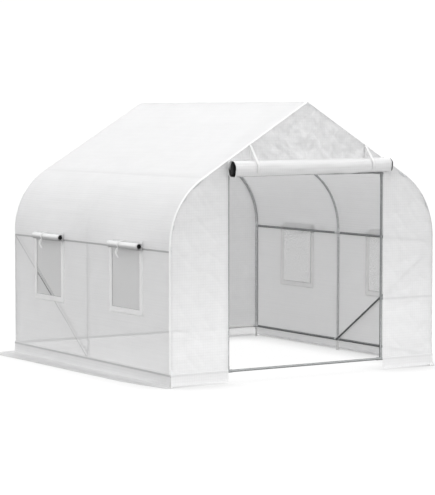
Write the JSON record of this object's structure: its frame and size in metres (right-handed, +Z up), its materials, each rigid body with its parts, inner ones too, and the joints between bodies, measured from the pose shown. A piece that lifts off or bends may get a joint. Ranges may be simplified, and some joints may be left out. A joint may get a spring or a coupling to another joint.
{
  "type": "walk-in tunnel greenhouse",
  "caption": "Walk-in tunnel greenhouse: a steel tube frame with a peaked roof and round shoulders under a white film cover, with a rolled-up door and meshed side windows.",
  "frame": {"origin": "on the ground at the middle of the plan", "axes": "+Z up, the doorway faces -Y, +X to the right of someone inside looking out of the rear; the ridge runs along Y"},
  "size_m": [2.64, 2.7339, 2.0703],
  "materials": {
    "galvanised_tube": "galvanised, satin",
    "fitting": "galvanised, satin",
    "cover_film": "white woven film with a fine grid, translucent",
    "skirt_film": "white woven film",
    "rolled_film": "white woven film, rolled",
    "insect_mesh": "fine white netting",
    "binding": "white tape",
    "strap": "white webbing"
  },
  "bodies": {
    "root": {"feet": "galvanised_tube", "left_legs": "galvanised_tube", "right_legs": "galvanised_tube", "left_shoulder_bends": "galvanised_tube", "right_shoulder_bends": "galvanised_tube", "left_rafters": "galvanised_tube", "right_rafters": "galvanised_tube", "base_fittings": "fitting", "purlin_fittings": "fitting", "knee_fittings": "fitting", "ridge_fittings": "fitting", "side_base_rails": "galvanised_tube", "front_base_rails": "galvanised_tube", "rear_base_rail": "galvanised_tube", "wall_purlins": "galvanised_tube", "knee_purlins": "galvanised_tube", "ridge_poles": "galvanised_tube", "door_posts": "galvanised_tube", "door_post_fittings": "fitting", "door_header": "galvanised_tube", "front_panel_tie": "galvanised_tube", "wall_braces": "galvanised_tube", "left_roof_cover": "cover_film", "right_roof_cover": "cover_film", "left_shoulder_cover": "cover_film", "right_shoulder_cover": "cover_film", "left_wall_cover": "cover_film", "right_wall_cover": "cover_film", "front_gable_cover": "cover_film", "front_left_panel": "cover_film", "front_right_panel": "cover_film", "rear_cover": "cover_film", "side_skirts": "skirt_film", "end_skirts": "skirt_film", "side_skirt_flaps": "rolled_film", "rear_skirt_flap": "skirt_film", "left_window_meshes": "insect_mesh", "right_window_meshes": "insect_mesh", "window_bindings": "binding", "left_window_flaps": "rolled_film", "right_window_flaps": "rolled_film", "window_ties": "strap", "door_roll": "rolled_film", "door_ties": "strap", "edge_hems": "binding"}
  },
  "joints": []
}
